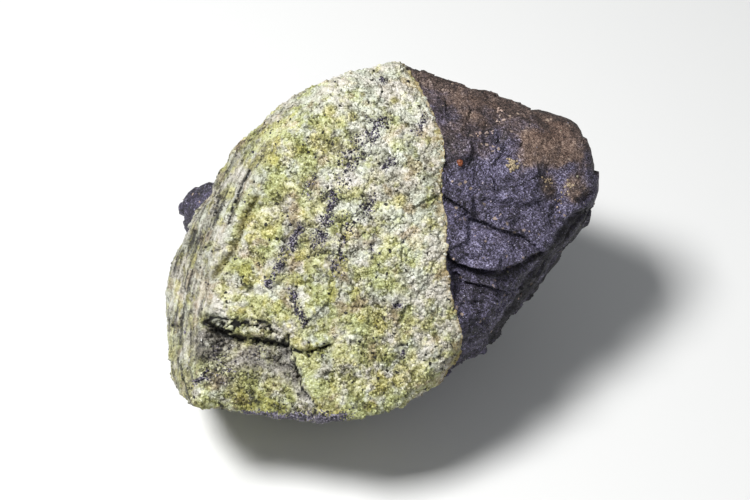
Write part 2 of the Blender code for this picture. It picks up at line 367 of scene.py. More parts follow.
def flank_cracks(points):
    """From 0 to 1, how deep in one of the flank's two dark cracks each point is."""
    wobble = points + 0.5 * np.stack([noise(points, 2, SEED + axis) for axis in (61, 62, 63)], axis=1)
    off = np.minimum(*(off_line(wobble, line) for line in FLANK_CRACKS))
    return near(off, 0.55) * rise(points[:, 2], *ON_FACE)


def outside(around, away):
    """Points of the stone's outside before its rock's own grain, and their arrows from the heart."""
    arrows = looking(around, math.pi / 2 - away)
    points = arrows * reach(arrows)[:, None]
    relief = SWELL[1] * noise(points, SWELL[0], SEED) + ROUGH[1] * noise(points, ROUGH[0], SEED + 1)
    for middle, radius, height in LUMPS:
        distance = np.linalg.norm(points - np.array(middle), axis=1)
        relief += height * near(distance, radius)
    return points + arrows * relief[:, None], arrows


def nodule_outside(around, away):
    """The nodule's broken face: flat chips in two sizes, then the olivine grains, each with a face of
    its own. Grooves follow the striations on the flank."""
    points, arrows = outside(around, away)
    flank = belongs(points, FLANK)
    grain, edge = chips(points, GRAIN_SIZE, SEED + 4)
    relief = 0.45 * chips(points, 3.6, SEED + 3)[0] + 0.3 * grain - 0.2 * edge
    relief = 0.7 * chips(points, 8, SEED + 2)[0] + relief * (1 - 0.25 * flank)
    for size, depth in GROOVES:
        relief += flank * depth * grooved(points, size)
    relief -= 1.3 * near(off_line(points, OLIVE_GROOVE), 0.9) * rise(points[:, 2], *ON_FACE)
    relief -= 1.3 * flank_cracks(points)
    for middle, radius, deep in PITS:
        relief -= deep * near(off_spot(points, middle), radius, 4) * rise(points[:, 2], *ON_FACE)
    return slab_bed(points + arrows * relief[:, None])


def seat(around, depth, rim):
    """Points of the hidden contact between the rocks, from the rim at depth 0 to the floor at depth 1,
    along a curve with one bend."""
    start, bend, end = (1 - depth) ** 2, 2 * depth * (1 - depth), depth**2
    wide = np.hypot(rim[:, 0], rim[:, 1]) * (start + bend * SEAT_WIDTH + end * FLOOR_WIDTH)
    high = start * rim[:, 2] - (bend + end) * SEAT_DEPTH
    return np.stack([wide * np.cos(around), wide * np.sin(around), high], axis=1)


def to_world(points):
    """Turns the face's axes to the way the stone rests, cuts it flat where it rests, and makes metres."""
    x, y, z = points.T
    back = y * math.sin(FACE_ELEVATION) - z * math.cos(FACE_ELEVATION)
    up = y * math.cos(FACE_ELEVATION) + z * math.sin(FACE_ELEVATION)
    return np.stack([x + HEART[0], back + HEART[1], np.maximum(up + HEART[2], 0)], axis=1) * MM


def bowed_grid():
    """A square grid bowed out to a disk: each point's turn and share of the way to the rim, the grid's
    squares, and the points of its rim in order."""
    line = np.linspace(-1, 1, STEPS + 1)
    square = np.stack(np.meshgrid(line, line), axis=-1).reshape(-1, 2)
    disk = square * np.sqrt(1 - square[:, ::-1] ** 2 / 2)
    index = np.arange((STEPS + 1) ** 2).reshape(STEPS + 1, STEPS + 1)
    squares = np.stack([index[:-1, :-1], index[:-1, 1:], index[1:, 1:], index[1:, :-1]], axis=-1)
    rim = np.concatenate([index[0, :-1], index[:-1, -1], index[-1, :0:-1], index[:0:-1, 0]])
    return np.arctan2(disk[:, 1], disk[:, 0]), np.hypot(*disk.T), squares.reshape(-1, 4), rim


def body_mesh(name, points, squares, rim, inward):
    """One closed rock: its outside, then rings down the hidden seat, then the seat's flat floor. A rock
    whose outside faces the heart's other side is wound the other way."""
    around = np.arctan2(points[rim, 1], points[rim, 0])
    rings = [points]
    loops = [rim]
    for ring in range(1, SEAT_RINGS + 1):
        rings.append(seat(around, ring / SEAT_RINGS, points[rim]))
        loops.append(len(points) + (ring - 1) * len(rim) + np.arange(len(rim)))
    walls = [np.stack([a, b, np.roll(b, -1), np.roll(a, -1)], axis=1) for a, b in zip(loops, loops[1:])]
    faces = np.concatenate([squares, *walls])
    floor = loops[-1][::-1]
    if inward:
        faces = faces[:, ::-1]
        floor = floor[::-1]
    return mesh_of(name, np.concatenate(rings), faces, floor)


def mesh_of(name, points, faces, last=()):
    """An object from points in the face's axes and faces of equal size, with one larger face at most."""
    mesh = bpy.data.meshes.new(name)
    corners = np.concatenate([faces.ravel(), last]).astype(int)
    starts = np.arange(len(faces) + (len(last) > 0)) * faces.shape[1]
    mesh.vertices.add(len(points))
    mesh.vertices.foreach_set("co", to_world(points).ravel())
    mesh.loops.add(len(corners))
    mesh.loops.foreach_set("vertex_index", corners)
    mesh.polygons.add(len(starts))
    mesh.polygons.foreach_set("loop_start", starts)
    mesh.update(calc_edges=True)
    mesh.validate()
    piece = bpy.data.objects.new(name, mesh)
    bpy.context.collection.objects.link(piece)
    return piece


def paint(piece, name, values):
    """Gives each point of the piece a number that its material reads by name. Points past the end of
    the values, which are hidden, get 0."""
    full = np.zeros(len(piece.data.vertices), np.float32)
    full[: len(values)] = values
    piece.data.attributes.new(name, "FLOAT", "POINT").data.foreach_set("value", full)


class Wire:
    """An output socket in a material's node tree. Numbers and wires add up and multiply as written,
    each sign making one Math node, and [name] takes another output of the same node."""

    def __init__(self, tree, socket=None):
        self.tree, self.socket = tree, socket

    def __getitem__(self, name):
        return Wire(self.tree, self.socket.node.outputs[name])

    def node(self, kind, settings, inputs):
        """Adds a node of this kind: its settings first, with a ramp's stops among them, then its inputs,
        by name or number, each a value or a wire."""
        made = self.tree.nodes.new("ShaderNode" + kind)
        for key, value in settings.items():
            if key == "stops":
                while len(made.color_ramp.elements) < len(value):
                    made.color_ramp.elements.new(1)
                for element, (position, colour) in zip(made.color_ramp.elements, value):
                    element.position, element.color = position, (*colour, 1)
            else:
                setattr(made, key, value)
        for key, value in inputs.items():
            if isinstance(value, Wire):
                self.tree.links.new(value.socket, made.inputs[key])
            else:
                made.inputs[key].default_value = value
        return Wire(self.tree, made.outputs[0])

    def maths(self, operation, *values):
        settings = {"operation": operation}
        return self.node("Math", settings, dict(enumerate(values)))

    def __add__(self, other):
        return self.maths("ADD", self, other)

    def __sub__(self, other):
        return self.maths("SUBTRACT", self, other)

    def __rsub__(self, other):
        return self.maths("SUBTRACT", other, self)

    def __mul__(self, other):
        return self.maths("MULTIPLY", self, other)

    def __gt__(self, other):
        return self.maths("GREATER_THAN", self, other)

    def __lt__(self, other):
        return self.maths("LESS_THAN", self, other)

    def between(self, low, high):
        """0 below low, 1 above high, with a smooth rise between."""
        limits = {"Value": self, "From Min": low, "From Max": high}
        return self.node("MapRange", {"interpolation_type": "SMOOTHSTEP"}, limits)

    def ramp(self, *stops):
        return self.node("ValToRGB", {"stops": stops}, {"Fac": self})

    def output(self, number):
        return Wire(self.tree, self.socket.node.outputs[number])

    def blend(self, low, high):
        """The colour low where this mask is 0, and high where it is 1."""
        settings = {"data_type": "RGBA"}
        colours = [value if isinstance(value, Wire) else (*value, 1) for value in (low, high)]
        return self.node("Mix", settings, {0: self, 6: colours[0], 7: colours[1]}).output(2)


def new_finish(name, roughness=0.5):
    """A material and the wire to build its nodes from."""
    material = bpy.data.materials.new(name)
    material.use_nodes = True
    shader = material.node_tree.nodes["Principled BSDF"]
    shader.inputs["Roughness"].default_value = roughness
    return material, Wire(material.node_tree), shader


def attribute(wire, name):
    """A number that is painted on the piece's points."""
    return wire.node("Attribute", {"attribute_name": name}, {})["Fac"]


def speckle(wire, size):
    """Cells of about this size in metres, on the object's own coordinates. Color is a random colour for
    each cell, and Position is its middle."""
    place = wire.node("TexCoord", {}, {})["Object"]
    return wire.node("TexVoronoi", {}, {"Vector": place, "Scale": 1 / size})


def clouds(wire, size, detail=3.0, roughness=0.55):
    """Soft patches of about this size in metres, on the object's own coordinates."""
    place = wire.node("TexCoord", {}, {})["Object"]
    inputs = {"Vector": place, "Scale": 1 / size, "Detail": detail, "Roughness": roughness}
    return wire.node("TexNoise", {}, inputs)


def facet_height(wire, cells, size):
    """A height that makes each cell a flat face with its own tilt: the random colour of the cell, taken
    as an arrow, dotted with the step from the cell's middle."""
    place = wire.node("TexCoord", {}, {})["Object"]
    step = wire.node("VectorMath", {"operation": "SUBTRACT"}, {0: place, 1: cells["Position"]})
    arrow = wire.node("VectorMath", {"operation": "SUBTRACT"}, {0: cells["Color"], 1: (0.5, 0.5, 0.5)})
    return wire.node("VectorMath", {"operation": "DOT_PRODUCT"}, {0: step, 1: arrow})["Value"] * (1 / size)


def random_of(wire, cells, channel):
    """One of a cell's three random numbers."""
    return wire.node("SeparateColor", {}, {"Color": cells["Color"]})[channel]


turn, share, squares, rim = bowed_grid()
nodule = nodule_outside(turn, share * contact_angle(turn))
dunite = body_mesh("dunite", nodule, squares, rim, inward=False)

STREAKS = (
    (((-7.5, 6.5), (-10, 2.5), (-13, -3), (-16, -8.5)), 1.1, 1.0),
    (((15, 37), (11.5, 33), (6.5, 26.5)), 2.6, 0.42),
    (((6.5, 26.5), (2, 15), (-0.5, 6.5), (-2, 3)), 1.7, 0.6),
    (((13.5, 14.5), (7, 9), (4, -0.5), (2.5, -5)), 1.6, 0.42),
    (((-9.5, -12), (-7.5, -16.5), (-5.5, -20.5)), 1.0, 0.5),
    (((28, 40.5), (27, 35)), 1.0, 0.5),
    (((18.5, 26), (17.5, 24.5)), 0.9, 0.8),
    (((-3.5, 20.5), (-5, 17)), 1.3, 0.4),
    (((-30.8, -28), (-29.2, -34)), 2.0, 0.6),
    (((-37, -36.8), (-33.5, -35)), 1.0, 0.75),
    (((-21.5, -29.6), (-17, -28.6)), 1.3, 0.3),
)
SPOTS = (((13.5, 2), 0.7), ((20.5, -14.5), 0.8), ((21.5, -28.5), 0.7), ((27, 36.5), 0.8), ((16, 50), 0.8))


def streak_mask(points, widen=1.0):
    """From 0 to 1, how much chromite there is: bands round the streak lines, broken up by noise, and a
    few single spots. A widened mask gives the greyer rock beside them."""
    wobble = points + 0.9 * np.stack([noise(points, 2.5, SEED + axis) for axis in (31, 32, 33)], axis=1)
    mask = np.zeros(len(points))
    for line, half_width, strength in STREAKS:
        mask = np.maximum(mask, strength * near(off_line(wobble, line), half_width * widen))
    mask *= 0.35 + 0.65 * rise(noise(points, 2.6, SEED + 34), -0.35, 0.25)
    for middle, radius in SPOTS:
        mask = np.maximum(mask, near(off_spot(wobble, middle), radius * widen))
    return mask * rise(points[:, 2], -5, 10)


def pale_and_lit_zone(points):
    """The right of the face is paler than the rest, and the apex is palest: paler rock on the right, and
    painted light at the apex, which faces up.
    """
    return np.maximum(rise(points[:, 0] + 0.3 * points[:, 1], 2, 30), 1.8 * rise(points[:, 1], 38, 50))


def green_zone(points):
    """The share of green grains: most at the lower left of the face, least at its right and the flank."""
    x, y = points[:, 0], points[:, 1]
    green = 0.6 - 0.33 * rise(x + 0.45 * y, 0, 30) + 0.12 * rise(-y, 5, 30)
    return green - 0.42 * rise(-x, 22, 36) * rise(y, -36, -16)


def lime_spots(points):
    """A few large clear grains that are yellower than the rest."""
    mask = np.zeros(len(points))
    for middle, radius in LIME_SPOTS:
        mask = np.maximum(mask, near(off_spot(points, middle), radius, 4))
    return mask * rise(points[:, 2], *ON_FACE)


def along_flank(points):
    """Cream and grey streaks, fine and broad, that run along the flank's striations, with thin dark
    lines between them."""
    fine = grooved(points, 0.65)
    streaks = 0.6 * fine + 0.6 * grooved(points, 1.3) + 0.4 * grooved(points, 3.5)
    return streaks - 0.35 * rise(-fine, 0.25, 0.5)


def on_flank(points):
    """From 0 to 1, how far the nodule's striated left side owns each point."""
    return belongs(points, FLANK)


ZONES = {
    "flank": on_flank,
    "along": along_flank,
    "pale": pale_and_lit_zone,
    "green": green_zone,
    "lime": lime_spots,
}
# The bed of the slab, with painted grey shade on its upper part under the ledge, and the cracks and
# shadow lines of the ledge and the cracks of the flank, painted near-black as shade.
inside, _, wall, chunk, crack = ledge_parts(nodule)
below = under_ledge(nodule * (1, 1, 0))[0]
bed = rise(inside, 3.5, 6) * rise(nodule[:, 0], FLANK_X - 6, FLANK_X + 2)
dust = bed * (1 - rise(below, 12, 18)) * rise(nodule[:, 2], *BESIDE_BED)
# The flank's two cracks are painted near-black as well, as shade.
crack = np.maximum(crack, 0.85 * flank_cracks(nodule))
# The skin is a thin strip of basalt that still sticks to the nodule's lower edge.
skin = rise(-nodule[:, 1] + 0.8 * noise(nodule, 4, SEED + 15), 44.6, 45.6) * rise(nodule[:, 0], -28, -24)
skin *= 1 - rise(nodule[:, 0], 4, 9)
# The olive groove and spots are clear, darker olivine.
groove = near(off_line(nodule, OLIVE_GROOVE), 1.2)
for middle, radius in OLIVE_SPOTS:
    groove = np.maximum(groove, near(off_spot(nodule, middle), radius, 4))
groove *= rise(nodule[:, 2], *ON_FACE)
# The halo is the greyer rock near the streaks, left of the step's crack and, less, on the flank.
beside = near(off_line(nodule + (1.9, 0, 0), STEP_CRACK), 1.5) * rise(nodule[:, 2], *BESIDE_BED)
halo = np.maximum(np.maximum(streak_mask(nodule, 2.4), beside), 0.35 * on_flank(nodule))
paint(dunite, "streak", np.maximum(streak_mask(nodule), 0.9 * skin))
paint(dunite, "rim", np.exp(-(1 - share) * 37) * rise(nodule[:, 2], *IN_SIGHT))
for name, zone in ZONES.items():
    paint(dunite, name, zone(nodule))
# Among these marks the cracks, the shadow lines and the bed are painted as shade, and the wall's chunks as
# light.
marks = {
    "wall": wall,
    "chunk": wall * chunk,
    "crack": crack,
    "bed": bed,
    "dust": dust,
    "groove": groove,
    "halo": halo,
}
for name, values in marks.items():
    paint(dunite, name, values)


MULTIPLY = {"data_type": "RGBA", "blend_type": "MULTIPLY"}
PALE_GRAIN = (
    (0.0, (0.035, 0.032, 0.022)),
    (0.2, (0.17, 0.16, 0.11)),
    (0.4, (0.365, 0.355, 0.275)),
    (0.6, (0.555, 0.545, 0.44)),
    (0.85, (0.665, 0.66, 0.56)),
    (1.0, (0.74, 0.73, 0.62)),
)
GREEN_GRAIN = (
    (0.0, (0.022, 0.021, 0.007)),
    (0.2, (0.12, 0.115, 0.036)),
    (0.4, (0.29, 0.285, 0.095)),
    (0.6, (0.472, 0.475, 0.215)),
    (0.85, (0.625, 0.63, 0.35)),
    (1.0, (0.725, 0.73, 0.49)),
)
RUSTY_GRAIN = ((0.0, (0.03, 0.02, 0.01)), (0.5, (0.34, 0.27, 0.14)), (1.0, (0.75, 0.68, 0.5)))
LILAC_GRAIN = ((0.0, (0.03, 0.027, 0.03)), (0.5, (0.34, 0.32, 0.3)), (1.0, (0.85, 0.82, 0.78)))
LIME_GRAIN = ((0.0, (0.04, 0.036, 0.006)), (0.5, (0.4, 0.37, 0.09)), (1.0, (0.85, 0.82, 0.4)))
CHROMITE = ((0.0, (0.018, 0.015, 0.025)), (0.6, (0.09, 0.08, 0.108)), (1.0, (0.33, 0.3, 0.37)))
BED_SHADE = ((0.0, (0.015, 0.013, 0.012)), (0.5, (0.2, 0.18, 0.155)), (1.0, (0.5, 0.47, 0.41)))
OLIVE = ((0.0, (0.015, 0.012, 0.003)), (0.6, (0.12, 0.1, 0.02)), (1.0, (0.3, 0.27, 0.08)))


def dunite_finish(name, tone_of):
    """Sugary olivine. Each grain has a tone of its own, from dark to white, and patches of many grains
    are pale, yellow-green or rusty. Over that lie the greyer rock by the streaks, their chromite, painted
    grey shade on the bed under the ledge, painted shade on the ledge wall, the olive groove, the cracks
    and the ledge's shadow lines painted near-black as shade, and the yellowed rim. The apex and the ledge
    wall's chunks are lightened with painted light."""
    material, wire, shader = new_finish(name)
    grains, fine, dots = speckle(wire, 0.0017), speckle(wire, 0.0008), speckle(wire, 0.0004)
    tone = tone_of(wire, grains, fine) + (random_of(wire, dots, "Red") - 0.5) * 0.34
    patches = (clouds(wire, 0.0035)["Fac"] - 0.5) * 0.9 + (clouds(wire, 0.011)["Fac"] - 0.5) * 1.0
    tone = tone + patches * (1 - attribute(wire, "flank") * 0.5)
    # The face's right is paler rock; the apex's extra paleness is painted light.
    tone = tone + attribute(wire, "pale") * 0.06
    tone = tone + (attribute(wire, "along") * 0.5 - 0.08) * attribute(wire, "flank")
    # Painted shade darkens the slab's bed, and painted light lightens the ledge wall and, more, its chunks
    # that stand out.
    tone = tone - attribute(wire, "bed") * 0.1 + attribute(wire, "wall") * 0.1
    tone = tone + attribute(wire, "chunk") * 0.4
    kind = (random_of(wire, grains, "Green") - 0.5) * 0.35
    green = (attribute(wire, "green") + (clouds(wire, 0.006)["Fac"] - 0.5) * 3.8 + kind).between(0.1, 0.9)
    colour = green.blend(tone.ramp(*PALE_GRAIN), tone.ramp(*GREEN_GRAIN))
    rust = clouds(wire, 0.0065, 2.0)["Fac"].between(0.55, 0.67) * 0.8
    colour = rust.blend(colour, tone.ramp(*RUSTY_GRAIN))
    lime = clouds(wire, 0.0052, 2.0)["Fac"].between(0.54, 0.66) * (1 - attribute(wire, "pale"))
    lime = lime * 0.85 + attribute(wire, "lime") * 0.8
    colour = lime.blend(colour, tone.ramp(*LIME_GRAIN))
    cast = clouds(wire, 0.008, 2.0)["Fac"].between(0.36, 0.64).blend((1.035, 0.99, 1.05), (0.965, 1.01, 1.0))
    colour = wire.node("Mix", MULTIPLY, {0: 1.0, 6: colour, 7: cast}).output(2)
    colour = (attribute(wire, "halo") * 0.75).blend(colour, tone.ramp(*LILAC_GRAIN))
    streak = attribute(wire, "streak")
    specks = random_of(wire, dots, "Blue") < streak * 0.9
    colour = specks.blend(colour, random_of(wire, dots, "Green").ramp(*CHROMITE))
    lumps = random_of(wire, fine, "Blue") < (streak - 0.45) * 1.3
    colour = lumps.blend(colour, random_of(wire, dots, "Green").ramp(*CHROMITE))
    colour = (random_of(wire, fine, "Blue") > 0.989).blend(colour, (0.03, 0.028, 0.018))
    # Painted shade: grey, in patches, on the bed's upper part under the ledge.
    patchy_bed_shade = clouds(wire, 0.005)["Fac"].between(0.35, 0.55) * 0.5 + 0.4
    colour = (attribute(wire, "dust") * patchy_bed_shade).blend(colour, tone.ramp(*BED_SHADE))
    shade = clouds(wire, 0.003)["Fac"].between(0.4, 0.6) * 0.3
    colour = (attribute(wire, "wall") * shade).blend(colour, (0.03, 0.026, 0.012))
    colour = (attribute(wire, "groove") * 0.9).blend(colour, tone.ramp(*OLIVE))
    # Painted shade: the cracks and the ledge's shadow lines go near-black.
    colour = attribute(wire, "crack").between(0.15, 0.75).blend(colour, (0.008, 0.007, 0.005))
    colour = (attribute(wire, "rim") * 0.7).blend(colour, (0.36, 0.25, 0.09))
    gloss = random_of(wire, fine, "Red") * 0.5 + 0.25
    relief = facet_height(wire, grains, 0.0016) + facet_height(wire, fine, 0.0008) * 0.7
    relief = relief + facet_height(wire, dots, 0.0004) * 0.4
    bump = wire.node("Bump", {}, {"Height": relief, "Distance": 0.0006, "Strength": 1.0})
    wire.tree.links.new(colour.socket, shader.inputs["Base Color"])
    wire.tree.links.new(gloss.socket, shader.inputs["Roughness"])
    wire.tree.links.new(bump.socket, shader.inputs["Normal"])
    return material


def rock_tone(wire, grains, fine):
    """The solid rock's tone, made of a random one for each large and each small grain."""
    return random_of(wire, grains, "Red") * 0.3 + random_of(wire, fine, "Red") * 0.22 + 0.24


dunite.data.materials.append(dunite_finish("broken dunite", rock_tone))
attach(dunite, "root")
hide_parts("dunite_nodule")

# The olivine grains: glassy grains that stand a little proud all over the nodule's broken face, each with
# flat broken sides. They are pale or green like the rock, and sit in it by more than half.
GRAIN_COUNT = 8600
LOWEST_GRAIN = -22
GOLDEN = (1 + 5**0.5) / 2
ICOSAHEDRON = np.array(
    [(0, a, b * GOLDEN) for a in (-1, 1) for b in (-1, 1)]
    + [(a, b * GOLDEN, 0) for a in (-1, 1) for b in (-1, 1)]
    + [(b * GOLDEN, 0, a) for a in (-1, 1) for b in (-1, 1)]
) / math.hypot(1, GOLDEN)


def hull_faces(corners):
    """The triangles of a convex solid that is much like a ball: every three corners with no other corner
    beyond their plane, wound to face outwards."""
    faces = []
    for a in range(len(corners)):
        for b in range(a + 1, len(corners)):
            for c in range(b + 1, len(corners)):
                normal = np.cross(corners[b] - corners[a], corners[c] - corners[a])
                sides = (corners - corners[a]) @ normal
                if (sides < 1e-6).all():
                    faces.append((a, b, c))
                elif (sides > -1e-6).all():
                    faces.append((a, c, b))
    return np.array(faces)


def scatter(points, squares, weights, count, rng):
    """Random places on a rock's outside: squares are drawn by their area times the weight of their first
    corner, and a place is a random blend of the square's corners."""
    corners = points[squares]
    areas = np.linalg.norm(np.cross(corners[:, 2] - corners[:, 0], corners[:, 3] - corners[:, 1]), axis=1)
    chance = areas * weights[squares[:, 0]]
    picked = rng.choice(len(squares), count, p=chance / chance.sum())
    mix = rng.dirichlet(np.ones(4), count)
    return (corners[picked] * mix[:, :, None]).sum(axis=1), squares[picked, 0]


def grain_points(shape, middles, sizes, rng, jitter):
    """Many copies of one solid: each corner is moved in or out at random, then each copy is turned at
    random, by three axes made square to each other, and set at its middle."""
    turned = np.linalg.qr(rng.normal(size=(len(middles), 3, 3)))[0]
    turned[:, :, 0] *= np.linalg.det(turned)[:, None]
    corners = shape * (1 + jitter * rng.uniform(-1, 1, (len(middles), len(shape), 1)))
    corners = np.einsum("nij,nkj->nki", turned, corners * sizes[:, None, :])
    return corners + middles[:, None, :]


def grain_mesh(name, shape, faces, middles, sizes, rng, jitter):
    """One piece of loose grains: copies of one solid, each with three sizes of its own."""
    points = grain_points(shape, middles, sizes, rng, jitter).reshape(-1, 3)
    all_faces = (faces + len(shape) * np.arange(len(middles))[:, None, None]).reshape(-1, 3)
    return mesh_of(name, points, all_faces)


rng = np.random.default_rng(SEED)
shell = nodule[:, 2] > LOWEST_GRAIN
crowd = shell * (1 - 0.9 * rise(crack, 0.2, 0.6)) * (1 - 0.6 * on_flank(nodule)) * (1 - skin)
middles, corner = scatter(nodule, squares, crowd, GRAIN_COUNT, rng)
sizes = rng.lognormal(-0.62, 0.28, GRAIN_COUNT)[:, None] * rng.uniform(0.75, 1.25, (GRAIN_COUNT, 3))
sunk = 0.6 + 0.3 * on_flank(middles)
middles = middles * (1 - sunk * sizes.mean(axis=1) / np.linalg.norm(middles, axis=1))[:, None]
ball = hull_faces(ICOSAHEDRON)
olivine_grains = grain_mesh("olivine_grains", ICOSAHEDRON, ball, middles, sizes, rng, 0.12)
owner = np.repeat(np.arange(GRAIN_COUNT), len(ICOSAHEDRON))
paint(olivine_grains, "tone", rng.uniform(0.15, 0.85, GRAIN_COUNT)[owner])
paint(olivine_grains, "streak", (0.6 * streak_mask(middles))[owner])
for name, zone in ZONES.items():
    paint(olivine_grains, name, zone(middles)[owner])
for name, values in marks.items():
    paint(olivine_grains, name, values[corner][owner])


def grain_tone(wire, grains, fine):
    """A loose grain's tone: its own, with a little from each small cell on it."""
    return attribute(wire, "tone") * 0.7 + random_of(wire, fine, "Red") * 0.2 + 0.05


olivine_grains.data.materials.append(dunite_finish("olivine grains", grain_tone))
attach(olivine_grains, "root")

# The chromite grains: small black crystals with a metallic shine, eight-sided where they are whole. They
# line the dark streaks, because they settled in layers when the rock formed.
CHROMITE_COUNT = 1150
OCTAHEDRON = np.array([(1, 0, 0), (-1, 0, 0), (0, 1, 0), (0, -1, 0), (0, 0, 1), (0, 0, -1)], float)
crowd = shell * (streak_mask(nodule) ** 1.5 + 0.001)
middles, _ = scatter(nodule, squares, crowd, CHROMITE_COUNT, rng)
sizes = rng.lognormal(-1.1, 0.3, CHROMITE_COUNT)[:, None] * np.ones(3)
chromite_grains = grain_mesh(
    "chromite_grains", OCTAHEDRON, hull_faces(OCTAHEDRON), middles, sizes, rng, 0.1
)
material, wire, shader = new_finish("chromite", roughness=0.35)
fine = speckle(wire, 0.0004)
colour = random_of(wire, fine, "Red").ramp(
    (0.0, (0.006, 0.005, 0.008)),
    (0.7, (0.042, 0.037, 0.052)),
    (1.0, (0.2, 0.175, 0.24)),
)
wire.tree.links.new(colour.socket, shader.inputs["Base Color"])
gloss = random_of(wire, fine, "Green") * 0.35 + 0.2
wire.tree.links.new(gloss.socket, shader.inputs["Roughness"])
shader.inputs["Metallic"].default_value = 0.35
chromite_grains.data.materials.append(material)
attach(chromite_grains, "root")

# The basalt crust: fine dark lava that froze round the nodule and broke in flat, hackly flakes. Its top
# is weathered brown, and gas holes and strange crystals are caught in it.
CRUST_CROWDING = 0.4
FLAKE_SINK = -0.8
LAYERS = (
    (((33, 17.5), (38, 14), (43, 10.2), (46.5, 8.9), (51, 7.5), (57, 5.8), (60, 3), (62, 0)), 1.5, 0.7, 9),
    (((33, 1), (37, -1.8), (42, -3.8), (46.5, -4.9), (51, -4.9), (57, -2.4), (62, 0.5)), 3.0, 1.3, 14),
    (((33, -7), (35, -6.2), (38.6, -5), (40.3, -7.8), (44, -9.2), (50, -10.5), (56, -12)), 1.2, 0.7, 7),
)
BACK_LAYER = ((48, -24), (52, -18), (56.9, -10.7), (59.8, -6.6), (65.4, 1.9), (70.9, 10.9), (75.9, 14.4))
BACK_DROP = 3.2
BACK_REACH = (-36, -28)
SPLITS = ((2.8, 0.4), (5.4, 0.5))
WEATHERED = ("top", "apex", "top_corner", "right_end", "back_top")
WEATHERED_EDGE = ((20, 50), (45, 43), (75, 30))
BROWN_PATCHES = (
    ((42, 43), (11, 8), 0.6),
    ((32, 45), (9, 10), 0.15),
    ((38, 34), (11, 9), 0),
    ((65, 31), (12, 9), 1),
    ((73, 20), (4, 6), 0.6),
    ((56, 38), (12, 5), 0.4),
    ((64.5, 20), (3.5, 6), 0.5),
)
CRACKS = (
    (((62.3, 26), (61.8, 18), (63.3, 12)), 0.7, 0.9),
    (((54, 21), (50, 21.5)), 0.5, 0.9),
    (((50.5, 19), (52, 18.5)), 1.1, 1.1),
    (((55, 6.8), (60, 3)), 0.4, 0.7),
    (((46, 22), (44, 16), (46, 9)), 0.4, 0.5),
    (((40.9, 25.4), (41.6, 27)), 1.1, 1.3),
)


def layer_wander(points):
    """How far the layers' edges stray from their lines."""
    return 0.7 * noise(points, 4, SEED + 45) + 0.3 * noise(points, 1.6, SEED + 46)


def under_layer(points, line):
    """How far below a layer's edge each point is."""
    return np.interp(points[:, 0], *zip(*line)) - points[:, 1] + layer_wander(points)


def beyond(points):
    """How far to the right of the back layer's edge each point is, seen straight onto the face. Above the
    edge's upper end it is well below 0."""
    along, up = zip(*BACK_LAYER)
    above = rise(points[:, 1], 12, 16)
    right = 0.85 * (points[:, 0] - np.interp(points[:, 1], up, along)) * (1 - above) - 4 * above
    return right + 0.4 * layer_wander(points)


def crust_outside(around, away, share):
    """The crust's broken outside: flat flakes in four sizes, ridged where they meet, then fine roughness.
    On its right face three layers end in steps, each with a dark notch at its foot, and a further layer
    with thin splits lies behind the face's right edge."""
    points, arrows = outside(around, away)
    flake, edge = chips(points, 15, SEED + 5)
    small, small_edge = chips(points, 8, SEED + 6)
    relief = FLAKE_SINK + 1.6 * flake - 0.3 * edge + 0.9 * small - 0.2 * small_edge
    hackly = 0.3 + 0.7 * rise(-points[:, 1], 4, 12)
    relief += hackly * (0.8 * chips(points, 3.6, SEED + 7)[0] + 0.4 * chips(points, 1.5, SEED + 8)[0])
    relief += 0.16 * noise(points, 2.5, SEED + 8) + 0.16 * noise(points, 0.9, SEED + 9)
    relief *= rise(1 - share, 0, 0.04)
    front = rise(points[:, 2], *IN_SIGHT)
    for line, half_width, deep in CRACKS:
        relief -= deep * near(off_line(points, line), half_width) * front
    moved = points + arrows * relief[:, None]
    layered = front * rise(points[:, 0], 30, 34) * rise(75 - points[:, 0], 8, 16)
    for line, drop, notch, run in LAYERS:
        below = under_layer(points, line)
        moved[:, 2] -= layered * drop * rise(below, 0, 0.6) * (1 - rise(below, 0.6, run))
        undercut = rise(below, 0.1, 0.7) * (1 - rise(below, 0.9, 2.0)) * layered
        moved[:, 2] -= notch * undercut
        moved[:, 1] += notch * undercut
    far = beyond(points)
    splits = sum(near(far - place, half_width) for place, half_width in SPLITS)
    moved[:, 2] -= front * (BACK_DROP * rise(far, 0, 0.7) + splits)
    crevice = near(far - 0.7, 0.6) + 0.5 * splits
    return moved - arrows * (1.1 * rise(points[:, 2], *BACK_REACH) * crevice)[:, None]


crowded = share * (1 + CRUST_CROWDING * (1 - share))
crust = crust_outside(turn, math.pi - crowded * (math.pi - contact_angle(turn)), share)
crust[rim] = nodule[rim]
basalt = body_mesh("basalt", crust, squares, rim, inward=True)
brown = 0.85 * belongs(crust, WEATHERED)
above_edge = crust[:, 1] - np.interp(crust[:, 0], *zip(*WEATHERED_EDGE))
brown = np.maximum(brown, rise(above_edge, -3, 3))
tan = np.zeros(len(crust))
for middle, radius, strength in BROWN_PATCHES:
    patch = np.hypot(*((crust[:, :2] - middle) / radius).T) + 0.4 * noise(crust, 6, SEED + 41)
    patch = (1 - rise(patch, 0.4, 1.4)) * rise(crust[:, 2], *IN_SIGHT)
    brown = np.maximum(brown, (0.6 + 0.4 * strength) * patch)
    tan = np.maximum(tan, strength * patch)
paint(basalt, "brown", brown)
paint(basalt, "tan", tan)
